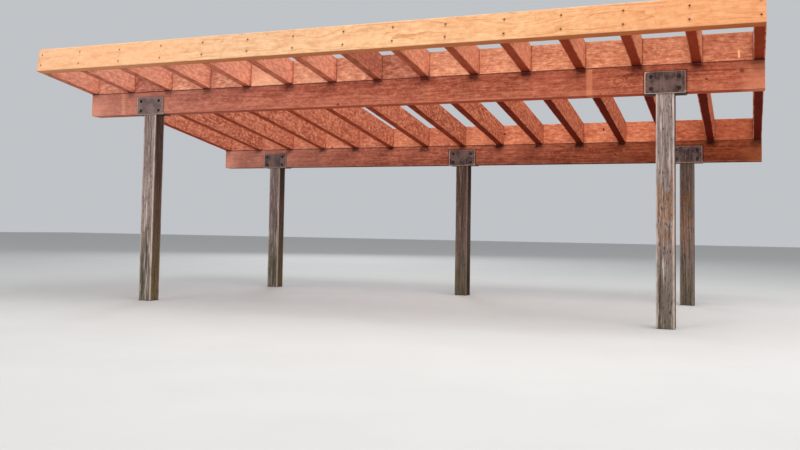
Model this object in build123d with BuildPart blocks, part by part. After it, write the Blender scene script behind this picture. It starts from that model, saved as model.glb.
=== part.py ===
from build123d import *
import math
import os

# Wooden pergola: two beams on five posts carry fifteen sloping rafters.
# The rafters fall from the front beam to the lower rear beam.
# Lengths are in millimetres: X along the beams, Y from front to rear, Z up from the feet.

# Rafters
rafter_count = 15
rafter_spacing = 488.0
rafter_width = 89.0
rafter_depth = 235.0
front_tail = 751.0
rear_tail = 751.0

# Fascia timbers across the rafters' ends, sawn from the same stock as the rafters
fascia_thickness = 89.0
fascia_depth = 235.0

# Beams: the tops set the fall of the roof
beam_width = 152.0
beam_depth = 241.0
front_beam_top = 2245.0
rear_beam_top = 1861.0
beam_distance = 2691.0

# Blocking boards stand on the beams between the rafters
blocking_thickness = 38.0

# Posts: the inset runs from a beam's end to the middle of its outer post
post_edge = 5.0
post_inset = 789.0

# Steel saddles that hold the beams on the posts
saddle_length = 340.0
saddle_height = 190.0
saddle_plate = 8.0
bolt_spacing_along = 230.0
bolt_spacing_up = 104.0
bolt_hole = 14.0

# Sizes that follow from the ones above: a post is as thick as the beam that it carries
post_width = beam_width
beam_length = (rafter_count - 1) * rafter_spacing + rafter_width
roof_angle = math.atan2(front_beam_top - rear_beam_top, beam_distance)
slope_run = math.cos(roof_angle)
slope_drop = math.sin(roof_angle)
seats_length = (beam_distance + beam_width) / slope_run
rafter_length = front_tail + seats_length + rear_tail
rafter_middle = rafter_length / 2 - front_tail
rafter_height = rafter_depth / slope_run

# The origin is on the ground under the middle of the roof, fascia timbers included
front_reach = (front_tail + fascia_thickness) * slope_run
rear_reach = (seats_length + rear_tail + fascia_thickness) * slope_run + fascia_depth * slope_drop
front_face = (front_reach - rear_reach) / 2
rear_face = front_face + beam_distance

# Each beam as its front face, its top and the names of its posts from left to right
beams = {
    "front": (front_face, front_beam_top, ("left", "right")),
    "rear": (rear_face, rear_beam_top, ("left", "middle", "right")),
}


def roof_side(x):
    """Side view plane at x: its X runs down the roof and its Y square to it."""
    return Plane(origin=(x, front_face, front_beam_top), x_dir=(0, slope_run, -slope_drop), z_dir=(1, 0, 0))


def post_places(names):
    """Middles of the posts under one beam, evenly spread between its two outer posts."""
    reach = beam_length / 2 - post_inset
    step = 2 * reach / (len(names) - 1)
    return {name: -reach + place * step for place, name in enumerate(names)}


def rafter_middle_x(place):
    """Middle of a rafter, counted from zero at the left end."""
    return (place - (rafter_count - 1) / 2) * rafter_spacing


def bolt_holes(x, face, top):
    """Four holes from front to rear through the beam and its saddle at x."""
    middle = top - beam_depth - saddle_plate + saddle_height / 2
    with Locations(Plane(origin=(x, face + beam_width / 2, middle), x_dir=(1, 0, 0), z_dir=(0, -1, 0))):
        with GridLocations(bolt_spacing_along, bolt_spacing_up, 2, 2):
            Hole(radius=bolt_hole / 2)


def save(piece, name):
    """Label one finished piece and write it."""
    piece.part.label = name
    export_step(piece.part, f"parts/{name}.step")


os.makedirs("parts", exist_ok=True)

# Posts: square timbers with eased edges, cut off level under the saddles
for side, (face, top, names) in beams.items():
    for name, x in post_places(names).items():
        with BuildPart() as post:
            with BuildSketch(Plane.XY):
                with Locations((x, face + beam_width / 2)):
                    Rectangle(post_width, post_width)
            extrude(amount=top - beam_depth - saddle_plate)
            chamfer(post.edges().filter_by(Axis.Z), length=post_edge)
        save(post, f"post_{side}_{name}")

# Saddles: a seat on the post's top and a drilled plate up each face of the beam
for side, (face, top, names) in beams.items():
    for name, x in post_places(names).items():
        seat = top - beam_depth - saddle_plate
        with BuildPart() as saddle:
            with BuildSketch(Plane.YZ.offset(x - saddle_length / 2)):
                with Locations((face + beam_width / 2, seat + saddle_height / 2)):
                    Rectangle(beam_width + 2 * saddle_plate, saddle_height)
                with Locations((face + beam_width / 2, seat + saddle_plate)):
                    Rectangle(beam_width, saddle_height, align=(Align.CENTER, Align.MIN), mode=Mode.SUBTRACT)
            extrude(amount=saddle_length)
            bolt_holes(x, face, top)
        save(saddle, f"saddle_{side}_{name}")

# Beams: one timber each, drilled for the saddles' bolts
for side, (face, top, names) in beams.items():
    with BuildPart() as beam:
        with BuildSketch(Plane.YZ.offset(-beam_length / 2)):
            with Locations((face + beam_width / 2, top - beam_depth / 2)):
                Rectangle(beam_width, beam_depth)
        extrude(amount=beam_length)
        for x in post_places(names).values():
            bolt_holes(x, face, top)
    save(beam, f"beam_{side}")

# Rafters: ends cut square to the slope, with a level seat notched over each beam
for place in range(rafter_count):
    left = rafter_middle_x(place) - rafter_width / 2
    with BuildPart() as rafter:
        with BuildSketch(roof_side(left)):
            with Locations((rafter_middle, rafter_depth / 2)):
                Rectangle(rafter_length, rafter_depth)
        extrude(amount=rafter_width)
        with BuildSketch(Plane.YZ.offset(left)):
            for face, top, names in beams.values():
                with Locations((face + beam_width / 2, top - beam_depth / 2)):
                    Rectangle(beam_width, beam_depth)
        extrude(amount=rafter_width, mode=Mode.SUBTRACT)
    save(rafter, f"rafter_{place + 1:02d}")

# Fascia timbers: one along the rafters' front ends and one along their rear ends
fascia_middles = {
    "front": -front_tail - fascia_thickness / 2,
    "rear": seats_length + rear_tail + fascia_thickness / 2,
}
for side, middle in fascia_middles.items():
    with BuildPart() as fascia:
        with BuildSketch(roof_side(-beam_length / 2)):
            with Locations((middle, fascia_depth / 2)):
                Rectangle(fascia_thickness, fascia_depth)
        extrude(amount=beam_length)
    save(fascia, f"fascia_{side}")

# Blocking: in each bay one board on each beam, its top edge bevelled to the slope
for bay in range(rafter_count - 1):
    left = rafter_middle_x(bay) + rafter_width / 2
    with BuildPart() as blocking:
        with BuildSketch(Plane.YZ.offset(left)):
            for face, top, names in beams.values():
                bevel = blocking_thickness * math.tan(roof_angle)
                with BuildLine():
                    Polyline(
                        (face, top),
                        (face + blocking_thickness, top),
                        (face + blocking_thickness, top + rafter_height - bevel),
                        (face, top + rafter_height),
                        close=True,
                    )
                make_face()
        extrude(amount=rafter_spacing - rafter_width)
    save(blocking, f"blocking_bay_{bay + 1:02d}")
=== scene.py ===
import math
from functools import partial

import bpy
import numpy as np
from mathutils import Matrix, Vector
from numpy.random import default_rng


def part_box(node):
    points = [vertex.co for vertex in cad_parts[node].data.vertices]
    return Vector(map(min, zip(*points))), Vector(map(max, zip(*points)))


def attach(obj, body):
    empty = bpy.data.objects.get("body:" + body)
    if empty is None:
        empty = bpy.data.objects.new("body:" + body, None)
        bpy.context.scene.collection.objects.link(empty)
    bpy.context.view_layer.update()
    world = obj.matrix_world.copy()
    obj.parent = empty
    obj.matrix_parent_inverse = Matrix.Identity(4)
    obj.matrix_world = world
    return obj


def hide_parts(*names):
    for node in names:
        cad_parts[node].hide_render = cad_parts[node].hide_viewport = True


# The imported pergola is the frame. Lengths are metres, X along the beams, Y to the rear, Z up.
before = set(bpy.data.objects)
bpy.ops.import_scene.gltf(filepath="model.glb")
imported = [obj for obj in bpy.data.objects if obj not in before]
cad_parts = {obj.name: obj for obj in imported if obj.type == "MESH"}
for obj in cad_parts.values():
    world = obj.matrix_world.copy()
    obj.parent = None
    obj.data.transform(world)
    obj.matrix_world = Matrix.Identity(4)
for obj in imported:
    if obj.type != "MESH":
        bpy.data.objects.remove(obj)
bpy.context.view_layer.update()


def placed(name, data):
    """A new object in the scene."""
    made = bpy.data.objects.new(name, data)
    bpy.context.scene.collection.objects.link(made)
    return made


# Sizes read from the frame

def span(node, axis):
    """Lowest and highest value of one CAD node along an axis, 0 for X, 1 for Y and 2 for Z."""
    low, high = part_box(node)
    return low[axis], high[axis]


sides = ("front", "rear")
post_names = {"front": ("left", "right"), "rear": ("left", "middle", "right")}
rafter_nodes = sorted(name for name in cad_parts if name.startswith("rafter_"))
blocking_nodes = sorted(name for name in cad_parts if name.startswith("blocking_"))
beam_face = {side: span(f"beam_{side}", 1)[0] for side in sides}
beam_top = {side: span(f"beam_{side}", 2)[1] for side in sides}
roof_angle = math.atan2(beam_top["front"] - beam_top["rear"], beam_face["rear"] - beam_face["front"])
run, drop = math.cos(roof_angle), math.sin(roof_angle)
world_x = Vector((1, 0, 0))
world_y = Vector((0, 1, 0))
world_z = Vector((0, 0, 1))
down_slope = Vector((0, run, -drop))
off_slope = Vector((0, drop, run))


def sloped_box(node):
    """Lower front corner, length down the slope and depth square to it, of a node in the roof."""
    low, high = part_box(node)
    across, up = high.y - low.y, high.z - low.z
    scale = run * run - drop * drop
    length = (across * run - up * drop) / scale
    depth = (up * run - across * drop) / scale
    return Vector(((low.x + high.x) / 2, low.y, high.z - depth * run)), length, depth


first_left, first_right = span(rafter_nodes[0], 0)
rafter_width = first_right - first_left
spacing = (span(rafter_nodes[-1], 0)[0] - first_left) / (len(rafter_nodes) - 1)
rafter_start = sloped_box(rafter_nodes[0])[0]
rafter_seats = [(face - rafter_start.y) / run for face in beam_face.values()]
beam_left, beam_right = span("beam_front", 0)
beam_length = beam_right - beam_left
beam_depth = {side: beam_top[side] - span(f"beam_{side}", 2)[0] for side in sides}


# Camera at the photo's place, from a fit of the roof's corners in the 800 by 450 picture

picture_width = 800
picture_height = 450
sensor_width = 36.0
focal_pixels = 874.24
optical_centre_row = 181.2
camera_right_of_centre = 3.346
camera_before_front_beam = 7.700
camera_below_front_beam_top = 1.4464
camera_yaw = 0.3822
camera_pitch = 0.0555
camera_roll = 0.0163


def make_camera():
    """A camera turned to the left and a little up, with the picture's centre off its axis."""
    level = Vector((-math.sin(camera_yaw), math.cos(camera_yaw), 0))
    right = Vector((math.cos(camera_yaw), math.sin(camera_yaw), 0))
    ahead = level * math.cos(camera_pitch) + world_z * math.sin(camera_pitch)
    up = right.cross(ahead)
    rolled_right = right * math.cos(camera_roll) + up * math.sin(camera_roll)
    rolled_up = up * math.cos(camera_roll) - right * math.sin(camera_roll)
    data = bpy.data.cameras.new("photo_camera")
    data.sensor_width = sensor_width
    data.lens = focal_pixels / picture_width * sensor_width
    data.shift_y = (optical_centre_row - picture_height / 2) / picture_width
    data.clip_end = 500
    camera = placed("photo_camera", data)
    turn = Matrix((rolled_right, rolled_up, -ahead)).transposed()
    place = Vector((
        camera_right_of_centre,
        beam_face["front"] - camera_before_front_beam,
        beam_top["front"] - camera_below_front_beam_top,
    ))
    camera.matrix_world = Matrix.Translation(place) @ turn.to_4x4()
    bpy.context.scene.camera = camera


make_camera()
bpy.context.scene.view_settings.view_transform = "Standard"


# Node graphs for the finishes

class Graph:
    """One material's node tree, with short calls for the nodes that the finishes use."""

    def __init__(self, name):
        self.material = bpy.data.materials.new(name)
        self.material.use_nodes = True
        self.tree = self.material.node_tree
        self.shader = self.tree.nodes["Principled BSDF"]
        self.base = None

    def put(self, value, socket):
        """Link a socket to another one, or set it to a number or a colour."""
        if isinstance(value, bpy.types.NodeSocket):
            self.tree.links.new(value, socket)
        else:
            socket.default_value = value

    def add(self, kind, inputs, output=0, **settings):
        """Add a node, fill its inputs and return one of its outputs."""
        node = self.tree.nodes.new("ShaderNode" + kind)
        for key, value in settings.items():
            setattr(node, key, value)
        for key, value in inputs.items():
            self.put(value, node.inputs[key])
        return node.outputs[output]

    def attribute(self, name, output="Fac"):
        return self.add("Attribute", {}, output, attribute_name=name)

    def math(self, operation, first, second=0.0, third=0.0):
        return self.add("Math", {0: first, 1: second, 2: third}, operation=operation)

    def plus(self, first, second):
        return self.math("ADD", first, second)

    def minus(self, first, second):
        return self.math("SUBTRACT", first, second)

    def times(self, first, second):
        return self.math("MULTIPLY", first, second)

    def times_plus(self, first, second, third):
        """First times second, plus third."""
        return self.math("MULTIPLY_ADD", first, second, third)

    def gap(self, first, second):
        """How far apart two values are."""
        return self.math("ABSOLUTE", self.minus(first, second))

    def reach(self, first, second):
        """Straight distance of a place that lies first along and second across."""
        return self.math("SQRT", self.times_plus(first, first, self.times(second, second)))

    def scaled(self, vector, factors):
        return self.add("VectorMath", {0: vector, 1: factors}, operation="MULTIPLY")

    def noise(self, vector, detail=2.0, roughness=0.5):
        """Soft noise, about 0.5 in the middle."""
        inputs = {"Vector": vector, "Scale": 1.0, "Detail": detail, "Roughness": roughness}
        return self.add("TexNoise", inputs)

    def smooth(self, value, low, high, start=0.0, end=1.0):
        """Map a value from low to high onto start to end, eased at both ends."""
        inputs = {"Value": value, "From Min": low, "From Max": high, "To Min": start, "To Max": end}
        return self.add("MapRange", inputs, interpolation_type="SMOOTHSTEP")

    def mix(self, factor, first, second, blend="MIX"):
        return self.add("Mix", {0: factor, 6: first, 7: second}, 2, data_type="RGBA", blend_type=blend)

    def lay(self, mask, tone, share=None):
        """Lay a colour over the base colour by a mask, or by a share of it."""
        if share is not None:
            mask = self.times(mask, share)
        self.base = self.mix(mask, self.base, tone)

    def stain(self, tint, share=1.0, base=None):
        """The base colour or another one, darkened by a tint as by a stain."""
        return self.mix(share, base or self.base, tint, "MULTIPLY")

    def split(self, vector):
        return self.add("SeparateXYZ", {0: vector}).node.outputs

    def facing(self, axis, sign):
        """How far the surface faces one way along an axis."""
        normal = self.split(self.add("NewGeometry", {}, "Normal"))
        return self.smooth(normal[axis], 0.3 * sign, 0.8 * sign)

    def shade(self, name, value):
        """Link or set one socket of the material's shader."""
        self.put(value, self.shader.inputs[name])

    def bump(self, height, distance):
        self.shade("Normal", self.add("Bump", {"Height": height, "Distance": distance}))


def colour(red, green, blue):
    """A colour given as a screen shows it, from 0 to 255, as the linear light that shaders use."""
    linear = []
    for value in (red, green, blue):
        value = value / 255
        linear.append(value / 12.92 if value <= 0.04045 else ((value + 0.055) / 1.055) ** 2.4)
    return (*linear, 1.0)


white = colour(255, 255, 255)


class Wood:
    """Growth rings, knots and fibres of a timber, read from its grain attribute.

    The attribute holds the place along the timber and the two distances from the tree's middle.
    Each named knot is its place along the timber, its height in it and its radius.
    """

    def __init__(self, g, ring_width, curl, knots=()):
        self.g = g
        self.grain = g.attribute("grain", "Vector")
        self.x, self.y, self.z = g.split(g.add("TexCoord", {}, "Object"))
        along, side, up = g.split(self.grain)
        self.along, self.across, self.height = g.split(g.attribute("place", "Vector"))
        radius = g.reach(side, up)
        turn = g.math("ARCTAN2", up, side)

        # Branches run out from the middle: one in each cell of length and turn, many missing
        cells_along, cells_turn = 1.25, 0.5
        branch = g.add("CombineXYZ", {0: g.times(along, cells_along), 1: g.times(turn, cells_turn)})
        cell = g.add("TexVoronoi", {"Vector": branch, "Scale": 1.0}, "Position", voronoi_dimensions="2D")
        chance, girth, _ = g.split(cell.node.outputs["Color"])
        cell_along, cell_turn, _ = g.split(cell)
        off_along = g.minus(along, g.math("DIVIDE", cell_along, cells_along))
        off_turn = g.times(g.minus(turn, g.math("DIVIDE", cell_turn, cells_turn)), radius)
        missing = g.smooth(chance, 0.84, 0.88, 0.3, 0.0)
        away = g.plus(g.reach(off_along, off_turn), missing)
        away = g.times_plus(girth, -0.006, away)
        for knot_along, knot_height, knot_radius in knots:
            beside = g.minus(self.along, knot_along)
            this = g.reach(beside, g.minus(self.height, knot_height))
            away = g.math("MINIMUM", away, g.plus(this, 0.011 - knot_radius))
        wobble = self.noise(60.0, 60.0, 1.0)
        self.knot = g.smooth(g.times_plus(wobble, 0.006, away), 0.008, 0.015, 1.0, 0.0)
        swirl = g.smooth(away, 0.008, 0.11, 1.0, 0.0)

        # Slow bends of the rings draw long arches on the faces, and swirls close round knots
        bend = self.noise(0.9, 5.0)
        ripple = self.noise(6.0, 26.0)
        bent = g.times_plus(bend, 0.075 * curl, radius)
        bent = g.times_plus(ripple, 0.010 * curl, bent)
        bent = g.times_plus(swirl, 0.030, bent)
        ring = g.math("FRACT", g.math("DIVIDE", bent, ring_width))
        late = g.times(g.smooth(ring, 0.45, 0.88), g.smooth(ring, 0.90, 1.0, 1.0, 0.0))
        years = {"W": g.times(bent, 42.0), "Scale": 1.0, "Detail": 1.5}
        self.years = g.add("TexNoise", years, noise_dimensions="1D")
        broken = self.noise(7.0, 24.0)
        shown = g.smooth(self.years, 0.35, 0.62, 0.2, 1.0)
        shown = g.times(shown, g.smooth(broken, 0.38, 0.6, 0.25, 1.0))
        self.line = g.times(late, shown)
        self.fibre = self.noise(14.0, 300.0, 3.0, 0.6)
        self.streak = self.noise(3.0, 60.0, 3.0, 0.55)
        self.blotch = self.noise(1.3, 5.0, 3.0, 0.6)
        self.patch = self.noise(9.0, 18.0, 3.0, 0.6)
        self.speck = self.noise(55.0, 75.0, 2.0, 0.6)
        self.mottle = self.noise(17.0, 34.0, 4.0, 0.7)

    def noise(self, along, across, detail=2.0, roughness=0.5):
        """Soft noise with about this many spots in a metre along the grain and across it."""
        return self.g.noise(self.g.scaled(self.grain, (along, across, across)), detail, roughness)


def finish_wood(g, wood, relief=1.0):
    """Dirt and painted shade in the joints, open cracks, end grain, roughness and relief that every
    timber has.
    """
    # Dirt and painted shade darken the joints and the ends that butt on other parts
    g.lay(g.attribute("dirt_and_shade"), colour(58, 22, 16), g.smooth(wood.patch, 0.25, 0.6, 0.55, 0.95))
    g.lay(g.attribute("end"), g.stain(colour(205, 190, 182)), 0.8)
    g.lay(g.attribute("crack"), colour(36, 18, 14), 0.85)
    g.shade("Base Color", g.base)
    g.shade("Roughness", g.smooth(wood.fibre, 0.3, 0.7, 0.74, 0.94))
    g.shade("Specular IOR Level", 0.05)
    saw = wood.noise(210.0, 8.0)
    chatter = wood.noise(40.0, 3.0, 1.0)
    height = g.times_plus(wood.fibre, 0.9, g.times(wood.line, -0.5))
    height = g.times_plus(saw, 0.7, height)
    height = g.times_plus(chatter, 0.6, height)
    height = g.times_plus(wood.knot, 0.6, height)
    g.bump(height, 0.0018 * relief)


def stained_wood(name, sun, mid, dark, under, figure, bleach, mottle, ring_width, curl, marks,
                 knots=(), late=None):
    """Stained rough-sawn softwood: pale where the sun reaches, darkest underneath, partly stain that kept
    its colour and partly painted shade.

    figure is how strong its rings are, bleach how much of it is faded in streaks, and mottle in spots.
    marks is a function that adds this timber's own marks. late is the colour of the ring lines.
    """
    g = Graph(name)
    wood = Wood(g, ring_width, curl, knots)
    down = g.facing(2, -1)
    tone = g.times_plus(wood.blotch, 0.9, g.times(wood.patch, 0.55))
    tone = g.times_plus(wood.years, 0.40 * figure, tone)
    tone = g.times_plus(g.attribute("lot"), 0.35, tone)
    g.base = g.mix(g.smooth(tone, 0.65, 1.45), dark, mid)
    pale = g.smooth(g.times_plus(wood.speck, 0.6, wood.streak), 0.66, 1.0)
    g.lay(pale, sun, bleach)
    g.lay(g.smooth(wood.mottle, 0.52, 0.34, 0.0, mottle), sun)
    g.lay(g.smooth(wood.mottle, 0.50, 0.68, 0.0, mottle), g.stain(dark, 0.5))
    g.lay(wood.line, late or g.stain(dark, 0.6), 0.75 * figure)
    g.lay(g.smooth(wood.fibre, 0.40, 0.75, 0.0, 0.30), dark)
    g.lay(g.smooth(wood.speck, 0.58, 0.72, 0.0, 0.30 * figure), dark)
    g.lay(wood.knot, colour(66, 24, 15), 0.85)
    g.lay(g.facing(2, 1), sun, 0.5)
    # Undersides darkest: partly stain that kept its colour, partly painted shade
    shade = g.mix(g.smooth(tone, 0.7, 1.4), g.stain(dark, 0.45, under), under)
    g.lay(down, shade, 0.92)
    marks(g, wood, down)
    worn = g.times(g.attribute("wear"), g.smooth(wood.patch, 0.35, 0.65, 0.10, 0.65))
    g.lay(worn, sun, g.smooth(down, 0.0, 1.0, 1.0, 0.3))
    # The roof is darker and warmer towards its right end
    near_end = 3.4
    right = g.smooth(wood.x, -near_end, near_end)
    g.base = g.stain(g.mix(right, white, colour(252, 236, 216)))
    finish_wood(g, wood)
    return g.material


def beam_marks(g, wood, down, depth, sun, plates, bands, curl, fade, top_shade, low_shade):
    """Marks on a beam: painted shadows below the rafters, painted shade on its top and pale upright
    bands.

    plates are the middles of its steel plates along the beam, half their length and their height, round
    which shade is painted, and bands the middles of the pale bands. curl is the place and the height of a
    curly figure. fade darkens the beam towards its right end. top_shade paints shade on its top and
    low_shade on its foot: below zero it makes the foot paler.
    """
    # Painted shadows of the rafters on the beam, darkest where each rafter meets it
    place = g.math("DIVIDE", g.minus(wood.along, rafter_width / 2), spacing)
    place = g.minus(g.math("FRACT", g.plus(place, 0.5)), 0.5)
    off = g.times(g.math("ABSOLUTE", place), spacing)
    below = g.minus(depth, wood.height)
    ragged = g.times_plus(wood.patch, 0.12, -0.06)
    near = g.smooth(g.plus(off, ragged), 0.095, 0.02)
    rafter_shadow = g.times(near, g.smooth(g.plus(below, ragged), 0.11, 0.0))
    g.lay(rafter_shadow, colour(74, 30, 28), 0.6)
    rafter_joint_shadow = g.smooth(g.times_plus(ragged, 0.6, below), 0.050, 0.012)
    rafter_joint_shadow = g.times(rafter_joint_shadow, g.smooth(g.times_plus(ragged, 0.6, off), 0.056, 0.024))
    g.lay(rafter_joint_shadow, colour(44, 17, 17), 0.8)
    # Painted shade on the top under the roof and on the rear beam's foot; the front beam's foot is made
    # paler
    top = g.smooth(g.plus(below, ragged), 0.16, 0.0)
    g.lay(top, colour(100, 40, 32), top_shade)
    low = g.smooth(g.plus(wood.height, ragged), 0.14, 0.0)
    g.lay(low, colour(92, 44, 34) if low_shade > 0 else sun, abs(low_shade))
    # The sun has bleached the ends, most at the foot
    end = g.math("MINIMUM", wood.along, g.minus(beam_length, wood.along))
    frayed = g.smooth(g.times_plus(wood.patch, -0.35, end), 0.12, -0.14)
    frayed = g.times(frayed, g.smooth(g.plus(wood.height, ragged), 0.24, 0.05, 0.35, 1.0))
    g.lay(frayed, sun, 0.6)
    # Fine pale arcs run round the curly figure
    beside = g.minus(wood.along, curl[0])
    away = g.reach(g.times(beside, 0.55), g.minus(wood.height, curl[1]))
    waves = g.times_plus(wood.fibre, 2.5, g.times(away, 260.0))
    waves = g.times_plus(wood.patch, 24.0, waves)
    curly = g.times(g.smooth(g.math("SINE", waves), -0.2, 0.9), g.smooth(away, 0.075, 0.02))
    g.lay(curly, sun, 0.45)
    # Painted shadow in a thin band round each steel plate
    for middle, half_length, height in plates:
        beside = g.gap(wood.along, middle)
        plate_shadow = g.smooth(beside, half_length + 0.020, half_length + 0.006)
        plate_shadow = g.times(plate_shadow, g.smooth(wood.height, height + 0.018, height + 0.005))
        g.lay(plate_shadow, colour(62, 28, 24), 0.6)
    for middle in bands:
        beside = g.gap(wood.along, middle)
        band = g.smooth(g.times_plus(wood.fibre, 0.012, beside), 0.042, 0.022)
        g.lay(band, colour(226, 160, 128), 0.34)
    left = g.smooth(wood.along, 2.6, 0.3, 0.0, 0.30)
    g.lay(left, colour(206, 150, 134))
    right = g.smooth(wood.along, 2.5, 6.9, 0.0, fade)
    g.base = g.stain(g.mix(right, white, colour(179, 158, 132)))


def rafter_marks(g, wood, down):
    """Rafters: paler in front of the front beam, partly sun bleaching and partly painted light, with
    painted light on their undersides there and at the left, and painted shade on the undersides between.
    """
    # Tails in front of the front beam: partly sun bleaching, partly painted light
    tail = g.smooth(g.times_plus(wood.patch, 0.2, wood.along), 0.95, 0.70)
    g.lay(tail, g.mix(down, colour(236, 176, 152), colour(160, 74, 48)), 0.30)
    g.lay(tail, g.stain(colour(206, 184, 186)), g.smooth(g.attribute("lot"), 0.4, 0.0))
    # Painted light on the undersides towards the left
    left = g.smooth(wood.x, 2.4, -1.6)
    pale = g.mix(tail, colour(214, 98, 60), colour(246, 158, 130))
    g.lay(g.times(down, left), pale, g.smooth(wood.patch, 0.3, 0.6, 0.2, 0.5))
    # Painted shade on the inner undersides, under the roof
    inner = g.times(down, g.minus(1.0, g.math("MAXIMUM", tail, left)))
    g.lay(inner, g.stain(colour(200, 154, 138)))
    # Pale lower edges, worn in places
    half_width = rafter_width / 2
    edge = g.smooth(g.math("ABSOLUTE", wood.across), half_width - 0.010, half_width - 0.004)
    edge = g.times(edge, down)
    g.lay(edge, colour(232, 158, 126), g.smooth(wood.patch, 0.38, 0.58, 0.15, 0.75))
    # Darker low on the rafter, just above each seat's front edge
    for seat in rafter_seats:
        before = g.minus(seat, wood.along)
        seat_darkening = g.smooth(g.times_plus(wood.patch, 0.05, before), 0.075, 0.030)
        seat_darkening = g.times(seat_darkening, g.smooth(before, -0.004, 0.0))
        low = g.smooth(g.times_plus(wood.patch, 0.03, wood.height), 0.045, 0.016)
        g.lay(g.times(seat_darkening, low), colour(52, 20, 17), 0.8)


def block_marks(g, wood, down):
    """Blocking: the boards on the rear beam are darker, those at the right end most."""
    lot = g.attribute("lot")
    g.lay(g.smooth(lot, 0.6, 0.0), g.stain(colour(214, 196, 204)))
    g.lay(g.smooth(lot, 0.6, 1.0, 0.0, 0.4), colour(250, 196, 164))
    # A pale upright mark on the last board of the front row
    beside = g.gap(wood.x, pale_mark[0])
    above = g.times_plus(wood.patch, 0.02, g.gap(wood.z, pale_mark[1]))
    mark = g.times(g.smooth(beside, 0.011, 0.006), g.smooth(above, 0.05, 0.035))
    g.lay(mark, colour(255, 206, 160), g.smooth(wood.y, 0.1, -0.1, 0.0, 0.75))
    rear = g.smooth(wood.y, -0.1, 0.1)
    deeper = g.mix(g.smooth(wood.x, 1.9, 3.1), colour(244, 220, 212), colour(196, 160, 152))
    g.lay(rear, g.stain(deeper))


def screw_marks(g, wood, down):
    """Dark halos that the fascia's screws have stained into the wood, a little longer downwards."""
    screw_along, low, high = g.split(g.attribute("screw", "Vector"))
    beside = g.minus(wood.along, screw_along)
    for place in (low, high):
        above = g.minus(wood.height, place)
        upward = g.math("MAXIMUM", above, 0.0)
        downward = g.times(g.math("MINIMUM", above, 0.0), 0.55)
        away = g.reach(beside, g.plus(upward, downward))
        halo = g.smooth(g.times_plus(wood.patch, 0.012, away), 0.026, 0.010)
        g.lay(halo, colour(132, 74, 46), 0.5)
    g.lay(g.smooth(wood.along, 2.4, 1.2, 0.0, 0.4), colour(238, 174, 128))
    right = g.smooth(wood.along, 4.9, 6.6)
    g.lay(right, g.stain(colour(250, 232, 226)))


def grey_wood(name):
    """Posts: grey in front and a little less behind, else brown, partly weathering and partly painted
    light, with dark streaks, old stain and painted shade at the tops.
    """
    g = Graph(name)
    wood = Wood(g, ring_width=0.006, curl=1.2)
    outer = g.times_plus(g.facing(1, 1), 0.75, g.facing(1, -1))
    lot = g.attribute("lot")
    fleck = wood.noise(22.0, 120.0, 2.0, 0.6)
    strip = wood.noise(1.1, 55.0, 3.0, 0.6)
    brown = g.mix(wood.blotch, colour(66, 51, 51), colour(88, 69, 63))
    grey = g.mix(g.smooth(wood.blotch, 0.35, 0.65), colour(130, 116, 113), colour(154, 140, 135))
    # Grey fronts and brown sides: partly weathering, partly painted light on the fronts and painted shade
    # on the sides
    weathered_and_lit = g.times_plus(lot, 0.75, g.times(outer, 0.28))
    weathered_and_lit = g.times(g.times_plus(outer, 0.86, 0.14), weathered_and_lit)
    g.base = g.mix(g.smooth(g.times_plus(wood.streak, 0.3, weathered_and_lit), 0.1, 1.05), brown, grey)
    # Old stain is left in patches at mid-height, most on the right, and splashes darken the foot
    middle = g.times(g.smooth(wood.along, 0.45, 0.9), g.smooth(wood.along, 1.5, 1.15))
    right = g.smooth(wood.x, 1.0, 2.4, 0.10, 0.62)
    stained = g.times(g.smooth(wood.patch, 0.38, 0.54), g.times_plus(middle, right, 0.08))
    g.lay(stained, colour(134, 92, 58))
    left = g.smooth(wood.x, 0.0, -2.0, 0.0, 0.3)
    splash = g.times_plus(wood.patch, 0.4, g.minus(wood.along, left))
    splash = g.smooth(splash, 1.1, 0.2)
    foot = g.mix(outer, g.mix(lot, colour(56, 50, 32), colour(122, 104, 74)), colour(84, 80, 62))
    g.lay(splash, foot, 0.80)
    # Painted shade at the tops of the less grey posts, under the beam
    shade = g.times(g.minus(1.0, lot), g.smooth(wood.along, 0.7, 1.5))
    g.lay(shade, colour(52, 35, 25), 0.65)
    g.lay(g.smooth(strip, 0.48, 0.70, 0.0, 0.75), colour(54, 42, 38))
    g.lay(g.smooth(fleck, 0.54, 0.68, 0.0, 0.85), colour(44, 34, 32))
    lighter = g.mix(g.smooth(weathered_and_lit, 0.2, 0.9), colour(132, 106, 92), colour(214, 200, 196))
    g.lay(g.smooth(wood.streak, 0.52, 0.72, 0.0, 0.6), lighter)
    g.lay(wood.line, g.stain(colour(110, 86, 76), 0.6), 0.35)
    g.lay(wood.knot, colour(52, 36, 30), 0.7)
    # Pale edges: partly wear, partly a painted highlight on the arrises
    worn = g.times(g.attribute("wear"), g.smooth(wood.patch, 0.3, 0.55, 0.45, 0.9))
    g.lay(worn, g.mix(lot, colour(128, 108, 96), colour(206, 188, 178)))
    finish_wood(g, wood, relief=1.6)
    return g.material


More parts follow.
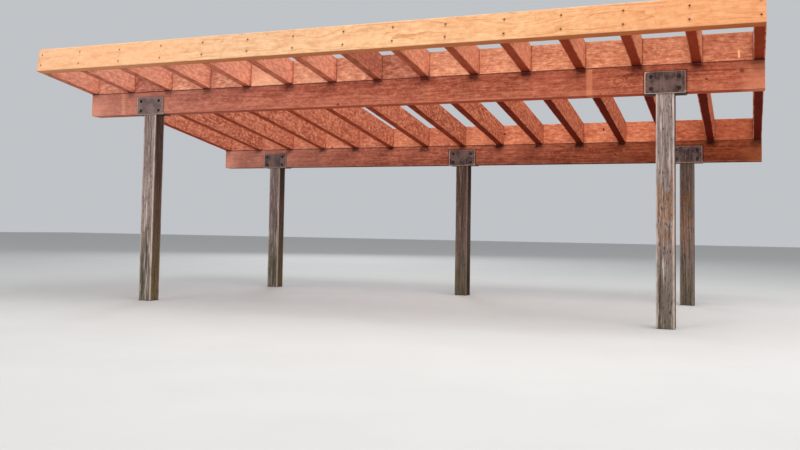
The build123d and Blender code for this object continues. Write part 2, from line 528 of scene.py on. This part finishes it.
def dark_steel(name, tone, rust_share, dust):
    """Dark bronze paint on steel, rubbed along its edges, with rust in specks and patches and painted
    shade underneath.
    """
    g = Graph(name)
    place = g.add("TexCoord", {}, "Object")
    cloud = g.noise(g.scaled(place, (9.0, 9.0, 9.0)), 4.0, 0.65)
    speck = g.noise(g.scaled(place, (70.0, 70.0, 70.0)), 3.0, 0.6)
    run_off = g.noise(g.scaled(place, (45.0, 45.0, 5.0)))
    tone = g.mix(g.attribute("lot"), tone, colour(118, 104, 104))
    darker = g.mix(0.4, tone, colour(26, 19, 19))
    paler = g.mix(0.35 * dust, tone, colour(140, 116, 112))
    g.base = g.mix(g.smooth(cloud, 0.38, 0.62), darker, paler)
    g.lay(g.smooth(run_off, 0.48, 0.72, 0.0, 0.35 * dust), colour(122, 104, 100))
    rust = g.smooth(g.times_plus(speck, 0.6, cloud), 0.96 - rust_share, 1.12 - rust_share)
    g.lay(rust, colour(104, 56, 38), 0.7 * dust)
    worn = g.times(g.attribute("wear"), g.smooth(speck, 0.3, 0.6, 0.45, 1.0))
    g.lay(worn, colour(214, 176, 158))
    # Dirt and painted shade in the joints
    g.lay(g.attribute("dirt_and_shade"), colour(30, 20, 18), 0.8)
    # Painted shade on the undersides
    g.lay(g.facing(2, -1), colour(46, 22, 17), 0.75)
    g.shade("Base Color", g.base)
    g.shade("Roughness", g.smooth(g.times_plus(rust, 0.5, cloud), 0.3, 0.9, 0.50, 0.80))
    g.shade("Specular IOR Level", 0.10)
    g.bump(g.times_plus(rust, 0.4, speck), 0.0007)
    return g.material


# Mesh parts: each is a dictionary of points, faces and the values that the finishes read

def slow_wave(rng, wavelength, parts=4):
    """A smooth random curve, about -1 to 1, as a function of the place along a timber."""
    lengths = wavelength * rng.uniform(0.6, 1.6, parts)
    phases = rng.uniform(0, 2 * math.pi, parts)
    return lambda u: np.sin(2 * math.pi * np.outer(u, 1 / lengths) + phases).sum(axis=1) / parts * 1.4


# Steps round a corner's arc
corner_steps = (0.0, 0.3, 0.7, 1.0)
# Points across a crack: the place in mouths, the share of the depth and how dark it is
crack_profile = ((-2.2, 0.0, 0.0), (-0.5, 0.05, 0.5), (0.0, 1.0, 1.0), (0.5, 0.05, 0.5), (2.2, 0.0, 0.0))
crack_tip = 0.02
end_bevel = 0.0016
end_dirt_and_shade_reach = 0.005
least_step = 0.0006
least_radius = 0.0006


def crack_shape(marks, crack, length):
    """How far a crack is open at each mark: closed at its tips, but not at the bar's ends."""
    _, _, start, stop, _, _ = crack
    taper = 0.22 * (stop - start)
    opened = np.clip(np.minimum(marks - start, stop - marks) / taper, 0, 1)
    if start <= 0:
        opened = np.where(marks < 0.5 * stop, 1.0, opened)
    if stop >= length:
        opened = np.where(marks > 0.5 * (start + length), 1.0, opened)
    return np.where((marks < start) | (marks > stop), 0.0, opened)


def strips(one, two):
    """Faces between two rings of points that lie one after the other along a bar."""
    return list(zip(one.tolist(), np.roll(one, -1).tolist(), np.roll(two, -1).tolist(), two.tolist()))


def fan(ring, hub):
    return [(one, two, hub) for one, two in zip(ring.tolist(), np.roll(ring, -1).tolist())]


def sweep(corners, length, axes, seed, arris=0.0025, wane=0.002, uneven=0.0006, step=0.045,
          side_step=0.02, cracks=(), seats=None, bow=0.0, dirt_and_shade=(0, 0, 0, 0), end_dirt_and_shade=(0, 0),
          caps=(0.82, 0.55, 0.28), rim=0.0):
    """A sawn bar along u: its section's corners counter-clockwise, its axes as origin, U, V and W.

    arris is the corners' radius, wane how much of them is lost in places, and uneven how rough the sides
    are. Each crack is its side, its place across it from 0 to 1, its start, end, mouth and depth. seats
    holds the marks and the floor of the notches. dirt_and_shade is the share of dirt and painted shade in
    the joint at each corner, and end_dirt_and_shade one for each end. caps are the sizes of the rings on
    the ends, and rim the wear of the outermost one.
    """
    rng = default_rng(seed)
    corners = np.array(corners, float)
    edges = np.roll(corners, -1, axis=0) - corners
    widths = np.linalg.norm(edges, axis=1)
    tangents = edges / widths[:, None]
    outward = np.stack([tangents[:, 1], -tangents[:, 0]], axis=1)

    marks = list(np.linspace(0, length, max(2, round(length / step) + 1)))
    marks += [end_bevel, length - end_bevel]
    if max(end_dirt_and_shade):
        marks += [2 * end_dirt_and_shade_reach, length - 2 * end_dirt_and_shade_reach]
    for _, _, start, stop, _, _ in cracks:
        marks += [start, start + crack_tip, stop - crack_tip, stop]
    marks += seats["marks"] if seats else []
    marks = np.array(sorted(mark for mark in marks if 0 <= mark <= length))
    marks = marks[np.concatenate([[True], np.diff(marks) > least_step])]
    marks[-1] = length
    rings = len(marks)
    # Dirt and painted shade near the ends, where the timber butts on other parts
    soiled_and_shaded = np.where(marks > length - end_dirt_and_shade_reach, end_dirt_and_shade[1], 0.0)
    soiled_and_shaded = np.where(marks < end_dirt_and_shade_reach, end_dirt_and_shade[0], soiled_and_shaded)

    columns, wear, cracked, soil_and_shade = [], [], [], []
    for side in range(len(corners)):
        radius = arris * (1 + 0.4 * slow_wave(rng, 0.9)(marks))
        radius += wane * np.clip(slow_wave(rng, 0.25)(marks) - 0.45, 0, 1) * 2
        radius = np.maximum(radius, least_radius)
        before, after = -tangents[side - 1], tangents[side]
        for t in corner_steps:
            offset = (1 - t) ** 2 * before + t ** 2 * after
            columns.append(corners[side] + radius[:, None] * offset)
            wear.append(np.full(rings, 1.0 if 0 < t < 1 else 0.6))
            cracked.append(np.zeros(rings))
            soil_and_shade.append(np.maximum(soiled_and_shaded, dirt_and_shade[side]))
        clear = arris * 2.2 + wane * 2
        inner = widths[side] - 2 * clear
        places = np.linspace(clear, widths[side] - clear, max(2, round(inner / side_step) + 1))
        entries = [(place, None) for place in places]
        for crack in [crack for crack in cracks if crack[0] == side]:
            middle = crack[1] * widths[side]
            keep_off = crack[4] * 2.2 + 0.004
            entries = [entry for entry in entries if abs(entry[0] - middle) > keep_off or entry[1]]
            for shift, push, strength in crack_profile:
                entries.append((middle + shift * crack[4], (crack, push, strength)))
        entries.sort(key=lambda entry: entry[0])
        wander = slow_wave(rng, 0.5)(marks) * 0.002
        wave, phase = slow_wave(rng, 0.7), rng.uniform(0, 6)
        for place, detail in entries:
            spot = np.full(rings, place)
            sink = uneven * (0.6 + 0.5 * wave(marks + phase * place))
            value = np.zeros(rings)
            if detail:
                crack, push, strength = detail
                opened = crack_shape(marks, crack, length)
                middle = crack[1] * widths[side]
                spot = middle + (place - middle) * (0.12 + 0.88 * opened) + wander
                sink = sink + crack[5] * push * opened
                value = strength * np.sqrt(opened)
            line = corners[side] + spot[:, None] * tangents[side]
            columns.append(line - sink[:, None] * outward[side])
            wear.append(np.zeros(rings))
            cracked.append(value)
            soil_and_shade.append(soiled_and_shaded)

    grid = np.stack(columns, axis=1)
    wear, cracked, soil_and_shade = (np.stack(part, axis=1) for part in (wear, cracked, soil_and_shade))
    middle = corners.mean(axis=0)
    inset = 1 - end_bevel / np.abs(corners - middle).max()
    for end in (0, rings - 1):
        grid[end] = middle + (grid[end] - middle) * inset
        wear[end] = 0.8
    if seats:
        grid[:, :, 1] = np.maximum(grid[:, :, 1], seats["floor"](marks)[:, None])
    grid[:, :, 0] += (bow * slow_wave(rng, 3.5, 2)(marks))[:, None]

    per_ring = grid.shape[1]
    lengthwise = np.repeat(marks[:, None, None], per_ring, axis=1)
    local = [np.concatenate([lengthwise, grid], axis=2).reshape(-1, 3)]
    values = {"wear": [wear.ravel()], "crack": [cracked.ravel()], "dirt_and_shade": [soil_and_shade.ravel()]}
    index = np.arange(rings * per_ring).reshape(rings, per_ring)
    faces = []
    for one, two in zip(index[:-1], index[1:]):
        faces += strips(one, two)
    side_faces = len(faces)
    total = rings * per_ring
    for end, sign in ((0, -1), (rings - 1, 1)):
        outer = index[end]
        for scale in caps:
            inner = np.arange(total, total + per_ring)
            ring = middle + (grid[end] - middle) * scale
            hollow = marks[end] - sign * np.abs(rng.normal(0, uneven * 0.4, per_ring))
            local.append(np.column_stack([hollow, ring]))
            values["wear"].append(np.full(per_ring, rim if scale == caps[0] else 0.0))
            values["crack"].append(cracked[end] * scale * (scale > 0.5))
            values["dirt_and_shade"].append(np.zeros(per_ring))
            faces += [face[::sign] for face in strips(outer, inner)]
            outer, total = inner, total + per_ring
        local.append(np.array([[marks[end], *middle]]))
        for value in values.values():
            value.append(np.zeros(1))
        faces += [face[::sign] for face in fan(outer, total)]
        total += 1

    local = np.concatenate(local)
    origin, along, across, upward = (np.array(part, float) for part in axes)
    if np.dot(along, np.cross(across, upward)) < 0:
        faces = [face[::-1] for face in faces]
    part = {key: np.concatenate(value) for key, value in values.items()}
    part["points"] = origin + local @ np.array([along, across, upward])
    part["faces"] = faces
    part["place"] = local
    part["end"] = np.arange(len(faces)) >= side_faces
    return part


def turned(profile, count, origin, axis, wear=0.0):
    """A turned part with count sides. Its profile pairs the place along the axis with the radius."""
    axis, origin = np.array(axis, float), np.array(origin, float)
    first = np.cross(axis, (0, 0, 1))
    second = np.cross(axis, first)
    angles = np.arange(count) * 2 * math.pi / count
    circle = np.outer(np.cos(angles), first) + np.outer(np.sin(angles), second)
    rings = [origin + place * axis + radius * circle for place, radius in profile]
    hubs = [origin + profile[0][0] * axis, origin + profile[-1][0] * axis]
    points = np.concatenate([*rings, hubs])
    index = np.arange(len(profile) * count).reshape(-1, count)
    hub = len(profile) * count
    faces = [face[::-1] for face in fan(index[0], hub)]
    for one, two in zip(index[:-1], index[1:]):
        faces += strips(one, two)
    faces += fan(index[-1], hub + 1)
    return {"points": points, "faces": faces, "wear": np.full(len(points), wear)}


def piece(name, parts, material, nodes=()):
    """One object from mesh parts, riding on the pergola's body in place of the named CAD nodes."""
    mesh = bpy.data.meshes.new(name)
    faces, count = [], 0
    for part in parts:
        faces += [tuple(corner + count for corner in face) for face in part["faces"]]
        count += len(part["points"])
    points = np.concatenate([part["points"] for part in parts])
    mesh.from_pydata(points.tolist(), [], faces)
    for key in [key for key in parts[0] if key not in ("points", "faces")]:
        data = np.concatenate([part[key] for part in parts]).astype(np.float32)
        kind, field = ("FLOAT_VECTOR", "vector") if data.ndim == 2 else ("FLOAT", "value")
        layer = mesh.attributes.new(key, kind, "FACE" if key == "end" else "POINT")
        layer.data.foreach_set(field, data.ravel())
    mesh.shade_smooth()
    mesh.set_sharp_from_angle(angle=math.radians(38))
    mesh.materials.append(material)
    made = placed(name, mesh)
    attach(made, "root")
    if nodes:
        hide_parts(*nodes)


def grown(part, pith, seed, lot):
    """Give a timber its grain, round the pith's place in the section, and its lot: how pale it is."""
    rng = default_rng(seed + 5000)
    along, across, upward = part["place"].T
    drift_across = slow_wave(rng, 3.0)(along) * 0.012
    drift_up = slow_wave(rng, 2.4)(along) * 0.016
    shift = seed % 97 * 1.13
    part["grain"] = np.column_stack([
        along + shift,
        across - pith[0] - drift_across,
        upward - pith[1] - drift_up,
    ])
    part["lot"] = np.full(len(along), lot)
    return part


def rectangle(width, height, low_v=0.0):
    """Section corners from low_v on, counter-clockwise."""
    return (low_v, 0), (low_v + width, 0), (low_v + width, height), (low_v, height)


# Finishes

# X and Z of a pale mark on the last blocking board
pale_mark = (3.261, beam_top["front"] + 0.054)

beam_tones = {"sun": colour(210, 142, 120), "mid": colour(169, 96, 78), "dark": colour(135, 65, 49)}
# Underside colours: the rear beam's darker one is painted shade
beam_under = {"front": colour(180, 76, 46), "rear": colour(92, 28, 18)}
# Each knot's place along the beam, its height in it and its radius
beam_knots = {"front": ((3.04, 0.014, 0.018), (6.744, 0.160, 0.022)), "rear": ()}
beam_looks = {
    "front": dict(bands=(0.43, 5.49), curl=(5.73, 0.110), fade=0.08, top_shade=0.26, low_shade=-0.12),
    "rear": dict(bands=(), curl=(0.9, 0.12), fade=0.95, top_shade=0.0, low_shade=0.35),
}
beam_wood = {}
for side in sides:
    plates = []
    for name in post_names[side]:
        low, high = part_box(f"saddle_{side}_{name}")
        middle = (low.x + high.x) / 2 - beam_left
        plates.append((middle, (high.x - low.x) / 2, high.z - span(f"beam_{side}", 2)[0]))
    marks = partial(beam_marks, depth=beam_depth[side], sun=beam_tones["sun"], plates=plates,
                    **beam_looks[side])
    beam_wood[side] = stained_wood(
        f"beam_{side}_wood", **beam_tones, under=beam_under[side],
        figure=0.7, bleach=0.45, mottle=0.5, ring_width=0.012, curl=1.3,
        marks=marks, knots=beam_knots[side],
    )
rafter_wood = stained_wood(
    "rafter_wood",
    sun=colour(217, 142, 112), mid=colour(188, 105, 80),
    dark=colour(144, 70, 51), under=colour(124, 36, 14),
    figure=1.0, bleach=0.5, mottle=1.3, ring_width=0.013, curl=1.9, marks=rafter_marks,
)
block_wood = stained_wood(
    "block_wood",
    sun=colour(238, 184, 154), mid=colour(216, 154, 128),
    dark=colour(184, 112, 88), under=colour(124, 44, 22),
    figure=1.1, bleach=0.4, mottle=1.05, ring_width=0.014, curl=1.9, marks=block_marks,
)
fascia_wood = stained_wood(
    "fascia_wood",
    sun=colour(226, 195, 161), mid=colour(214, 177, 141),
    dark=colour(196, 146, 108), under=colour(188, 116, 74),
    figure=1.25, bleach=0.35, mottle=0.45, ring_width=0.017, curl=1.8, marks=screw_marks,
    late=colour(182, 122, 80),
)
post_wood = grey_wood("post_wood")
saddle_steel = dark_steel("saddle_steel", tone=colour(62, 44, 40), rust_share=0.06, dust=1.0)
bolt_steel = dark_steel("bolt_steel", tone=colour(16, 12, 12), rust_share=0.06, dust=0.12)

# How pale each rafter and each board on the front beam is, from left to right
rafter_paleness = (0.8, 0.6, 0.7, 0.5, 0.8, 0.7, 0.8, 0.05, 0.4, 0.7, 0.8, 0.7, 0.8, 0.6, 0.5)
board_paleness = (0.4, 0.05, 0.5, 0.35, 1.0, 0.75, 0.55, 0.1, 0.7, 0.65, 0.48, 0.4, 0.35, 0.25)
# Beams and fascias
plain_lot = 0.5
# How grey each post is, the rear ones less, partly painted shade under the roof, and how pale each saddle
# is
post_greyness = {
    "front": {"left": 0.93, "right": 1.0},
    "rear": {"left": 0.66, "middle": 0.0, "right": 0.06},
}
saddle_paleness = {
    "front": {"left": 1.0, "right": 0.0},
    "rear": {"left": 0.6, "middle": 0.12, "right": 0.05},
}


# Timbers

# The first seed of each kind's random draws
first_seeds = {"rafter": 11, "beam": 41, "fascia": 51, "post": 61, "blocking": 400, "saddle": 800}


def seat_ends(start, side):
    """Where one beam's faces cross the rafter that starts at this corner, as places along the rafter."""
    return [(y - start.y) / run for y in span(f"beam_{side}", 1)]


def seat_floor(start):
    """Height of the notched seats above the underside of the rafter that starts at this corner."""
    def height(u):
        lift = np.zeros_like(u)
        for side in sides:
            first, last = seat_ends(start, side)
            seat = (beam_top[side] - start.z + u * drop) / run
            lift = np.where((u >= first) & (u <= last), np.maximum(seat, 0), lift)
        return np.where(lift > 0, lift, -1.0)
    return height


def make_rafters():
    for number, node in enumerate(rafter_nodes):
        start, length, depth = sloped_box(node)
        seed = first_seeds["rafter"] + number
        rng = default_rng(100 + seed)
        marks = []
        for side in sides:
            first, last = seat_ends(start, side)
            marks += [first, last, last + 0.001]
        cracks = (
            (1, rng.uniform(0.3, 0.7), 0.0, rng.uniform(0.25, 0.7), 0.0012, 0.008),
            (3, rng.uniform(0.3, 0.7), length - rng.uniform(0.25, 0.8), length, 0.0012, 0.008),
            (1, rng.uniform(0.2, 0.8), 1.2 + rng.uniform(0, 0.8), 2.4 + rng.uniform(0, 1), 0.0010, 0.006),
        )
        seats = {"marks": marks, "floor": seat_floor(start)}
        part = sweep(rectangle(rafter_width, depth, -rafter_width / 2), length,
                     (start, down_slope, world_x, off_slope), seed, cracks=cracks, seats=seats,
                     bow=0.0012, end_dirt_and_shade=(0.7, 0.7))
        pith = (rng.uniform(-0.03, 0.03), depth * rng.uniform(-0.1, 1.1))
        timber = grown(part, pith, seed, rafter_paleness[number])
        piece(node + "_wood", [timber], rafter_wood, [node])


beam_cracks = (
    (0, 0.48, 0.3, 2.1, 0.0016, 0.010), (0, 0.55, 3.3, 5.4, 0.0014, 0.009),
    (1, 0.62, 4.1, 6.3, 0.0014, 0.010), (1, 0.35, 0.6, 1.9, 0.0012, 0.008),
    (3, 0.45, 0.9, 2.8, 0.0014, 0.010), (3, 0.66, 3.9, 5.2, 0.0012, 0.008),
    (3, 0.30, 5.9, 10.0, 0.0014, 0.009),
)


def make_beams():
    for number, side in enumerate(sides):
        node = f"beam_{side}"
        low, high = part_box(node)
        size = high - low
        seed = first_seeds["beam"] + number
        cracks = [(*crack[:3], min(crack[3], size.x), *crack[4:]) for crack in beam_cracks]
        # Dirt and painted shade along the top edges, under the blocking and the rafters
        part = sweep(rectangle(size.y, size.z), size.x, (low, world_x, world_y, world_z), seed,
                     arris=0.003, wane=0.003, cracks=cracks, dirt_and_shade=(0.0, 0.0, 0.6, 0.9))
        timber = grown(part, (size.y * 0.55, size.z * 0.45), seed, plain_lot)
        piece(node + "_wood", [timber], beam_wood[side], [node])


# The fascia's screws stand this far above and below its middle, a little off in each bay
screw_height = 0.057
screw_jitter_along = 0.012
screw_jitter_up = 0.004
screw_sides = 18
screw_head = ((-0.004, 0.0065), (0.0004, 0.0065), (0.0012, 0.0056), (0.0016, 0.0030), (0.0004, 0.0028))


def make_fascias():
    """Fascia timbers, with two dark screws into each rafter's end."""
    for number, side in enumerate(sides):
        node = f"fascia_{side}"
        start, thickness, depth = sloped_box(node)
        start.x = span(node, 0)[0]
        seed = first_seeds["fascia"] + number
        rng = default_rng(700 + number)
        rear = side == "rear"
        outward = 1 if rear else -1
        crack = (1 if rear else 3, 0.4, 0.0, 0.35, 0.0008, 0.005)
        part = sweep(rectangle(thickness, depth), beam_length, (start, world_x, down_slope, off_slope),
                     seed, arris=0.003, wane=0.002, dirt_and_shade=(0.3, 0.3, 0.0, 0.0), cracks=(crack,))
        count = len(rafter_nodes)
        along = rafter_width / 2 + np.arange(count) * spacing + rng.normal(0, screw_jitter_along, count)
        low = depth / 2 - screw_height + rng.normal(0, screw_jitter_up, count)
        high = depth / 2 + screw_height + rng.normal(0, screw_jitter_up, count)
        nearest = np.round((part["place"][:, 0] - rafter_width / 2) / spacing)
        nearest = np.clip(nearest, 0, count - 1).astype(int)
        part["screw"] = np.column_stack([along[nearest], low[nearest], high[nearest]])
        timber = grown(part, (thickness / 2 - 0.14 * outward, depth * 0.40), seed, plain_lot)
        piece(node + "_wood", [timber], fascia_wood, [node])
        face = start + down_slope * (thickness if rear else 0)
        heads = []
        for u, heights in zip(along, zip(low, high)):
            for w in heights:
                place = face + world_x * float(u) + off_slope * float(w)
                heads.append(turned(screw_head, screw_sides, place, down_slope * outward))
        piece(f"screws_{side}", heads, bolt_steel)


def make_posts():
    for number, side in enumerate(sides):
        for place, name in enumerate(post_names[side]):
            node = f"post_{side}_{name}"
            low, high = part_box(node)
            size = high - low
            seed = first_seeds["post"] + number * 7 + place
            rng = default_rng(300 + seed)
            cracks = []
            for face in range(4):
                for middle in (rng.uniform(0.2, 0.45), rng.uniform(0.58, 0.8)):
                    start = rng.uniform(-0.2, size.z * 0.55)
                    stop = min(size.z, start + rng.uniform(0.4, 1.0))
                    cracks.append((face, middle, max(start, 0.0), stop, 0.0016, 0.010))
            part = sweep(rectangle(size.x, size.y), size.z, (low, world_z, world_x, world_y), seed,
                         arris=0.006, wane=0.004, cracks=cracks, end_dirt_and_shade=(0.9, 0.6))
            pith = (size.x * rng.uniform(0.4, 0.6), size.y * rng.uniform(0.4, 0.6))
            timber = grown(part, pith, seed, post_greyness[side][name])
            piece(node + "_wood", [timber], post_wood, [node])


block_clearance = 0.0008


def make_blocking():
    """Two boards in each bay, their tops bevelled to the slope."""
    rise = sloped_box(rafter_nodes[0])[2] / run
    thickness = span(blocking_nodes[0], 1)[1] - beam_face["rear"]
    fall = thickness * drop / run
    corners = ((0, 0), (thickness, 0), (thickness, rise - fall), (0, rise))
    for number, node in enumerate(blocking_nodes):
        low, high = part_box(node)
        length = high.x - low.x - 2 * block_clearance
        boards = []
        for place, side in enumerate(sides):
            seed = first_seeds["blocking"] + number * 2 + place
            rng = default_rng(seed)
            origin = Vector((low.x + block_clearance, beam_face[side], beam_top[side]))
            # Dirt and painted shade along the foot, where each board meets the beam, and at its ends
            part = sweep(corners, length, (origin, world_x, world_y, world_z), seed, arris=0.0015,
                         wane=0.001, dirt_and_shade=(1.0, 0.5, 0.0, 0.0), end_dirt_and_shade=(0.6, 0.6))
            pith = (rng.uniform(-0.12, -0.04), rng.uniform(-0.05, 0.3))
            lot = board_paleness[number] if side == "front" else rng.uniform(0.4, 0.7)
            boards.append(grown(part, pith, seed, lot))
        piece(node + "_wood", boards, block_wood, [node])


# Saddles and their bolts

plate_corner = 0.009
# Half the distances between a saddle's bolts
bolt_along = 0.115
bolt_up = 0.052
across_flats = 0.019
hex_radius = across_flats / math.sqrt(3)
hex_chamfer = 0.86
head_height = 0.0075
nut_height = 0.0100
shank_radius = 0.006
shank_sides = 16
washer_sides = 28
washer_thickness = 0.0025
washer = ((0, 0.0162), (0.0004, 0.0170), (0.0021, 0.0170), (washer_thickness, 0.0164))
bolt_wear = 0.02


def washer_and_hex(height, origin, axis):
    """A washer and the hexagon head or nut that stands on it, its outer edge chamfered."""
    profile = (
        (washer_thickness, hex_radius),
        (washer_thickness + height * hex_chamfer, hex_radius),
        (washer_thickness + height, hex_radius * hex_chamfer),
    )
    return [
        turned(washer, washer_sides, origin, axis, bolt_wear),
        turned(profile, 6, origin, axis, bolt_wear),
    ]


def make_saddles():
    for number, side in enumerate(sides):
        for place, name in enumerate(post_names[side]):
            node = f"saddle_{side}_{name}"
            low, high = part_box(node)
            size = high - low
            beam_low, beam_high = span(f"beam_{side}", 1)
            thickness = (size.y - (beam_high - beam_low)) / 2
            seed = first_seeds["saddle"] + number * 10 + place
            plain = {"wane": 0.0, "uneven": 0.0002, "caps": (0.975, 0.95, 0.6), "rim": 0.9}
            sheets = []
            for edge in (low.y, high.y - thickness):
                axes = (Vector((low.x, edge, low.z)), world_y, world_x, world_z)
                sheet = sweep(rectangle(size.x, size.z), thickness, axes, seed,
                              arris=plate_corner, step=0.02, side_step=0.04, **plain)
                across, up = sheet["place"][:, 1], sheet["place"][:, 2]
                # The plates' edges are paler along the left and the bottom
                pale_left_and_bottom = (across < 0.03) | (up < 0.02)
                sheet["wear"] = sheet["wear"] * np.where(pale_left_and_bottom, 1.0, 0.35)
                sheets.append(sheet)
            axes = (Vector((low.x, beam_low, low.z)), world_x, world_y, world_z)
            seat = sweep(rectangle(beam_high - beam_low, thickness), size.x, axes, seed + 1,
                         arris=0.001, step=0.06, side_step=0.04, **plain)
            for part in (*sheets, seat):
                part["lot"] = np.full(len(part["place"]), saddle_paleness[side][name])
            piece(node + "_steel", [*sheets, seat], saddle_steel, [node])

            middle = (low + high) / 2
            shank = (
                (-0.001, shank_radius),
                (size.y + 0.019, shank_radius),
                (size.y + 0.020, shank_radius - 0.001),
            )
            bolts = []
            for side_x in (-1, 1):
                for side_z in (-1, 1):
                    spot = middle + Vector((side_x * bolt_along, 0, side_z * bolt_up))
                    near = Vector((spot.x, low.y, spot.z))
                    far = Vector((spot.x, high.y, spot.z))
                    bolts += washer_and_hex(head_height, near, -world_y)
                    bolts.append(turned(shank, shank_sides, near, world_y))
                    bolts += washer_and_hex(nut_height, far, world_y)
            piece(f"bolts_{side}_{name}", bolts, bolt_steel)


make_rafters()
make_beams()
make_fascias()
make_posts()
make_blocking()
make_saddles()


# Studio

def make_floor():
    """A wide pale floor under the feet."""
    g = Graph("studio_floor")
    mottle = g.noise(g.scaled(g.add("TexCoord", {}, "Object"), (1.5, 1.5, 1.5)), 3.0)
    g.shade("Base Color", g.mix(mottle, (0.50, 0.50, 0.49, 1), (0.55, 0.55, 0.54, 1)))
    g.shade("Roughness", 0.9)
    half = 60
    corners = [(-half, -half, 0), (half, -half, 0), (half, half, 0), (-half, half, 0)]
    mesh = bpy.data.meshes.new("studio_floor")
    mesh.from_pydata(corners, [], [(0, 1, 2, 3)])
    mesh.materials.append(g.material)
    floor = placed("studio_floor", mesh)


# Each light's place, target, width, power in watts and tint
studio_lights = {
    "key": ((-8, -16, 6), (0, 0, 1.6), 12, 620, (1.0, 0.98, 0.95)),
    "fill": ((15, -12, 5), (0, 0, 1.6), 12, 300, (1.0, 0.98, 0.95)),
    "low_right": ((4, -13, 0.9), (1, -1.4, 2.3), 5, 330, (1.0, 0.95, 0.90)),
    "low_left": ((-3, -12, 0.9), (-2, -1.4, 2.3), 5, 380, (1.0, 0.95, 0.90)),
    "back": ((-8, 14, 8), (0, 0, 1.4), 5, 600, (0.97, 0.98, 1.0)),
    "top": ((3.5, -2.5, 9), (0, 0, 2), 9, 1050, (1.0, 0.98, 0.96)),
}


def area_light(name, place, target, size, power, tint):
    """A soft round light."""
    data = bpy.data.lights.new(name, "AREA")
    data.shape = "DISK"
    data.size = size
    data.energy = power
    data.color = tint
    light = placed(name, data)
    light.location = place
    light.rotation_mode = "QUATERNION"
    light.rotation_quaternion = (Vector(target) - Vector(place)).to_track_quat("-Z", "Y")


def make_world():
    """Even bluish light from all round."""
    world = bpy.data.worlds.new("studio")
    world.use_nodes = True
    background = world.node_tree.nodes["Background"]
    background.inputs["Color"].default_value = (0.88, 0.91, 0.95, 1)
    background.inputs["Strength"].default_value = 0.60
    bpy.context.scene.world = world


make_floor()
make_world()
for name, settings in studio_lights.items():
    area_light(name, *settings)
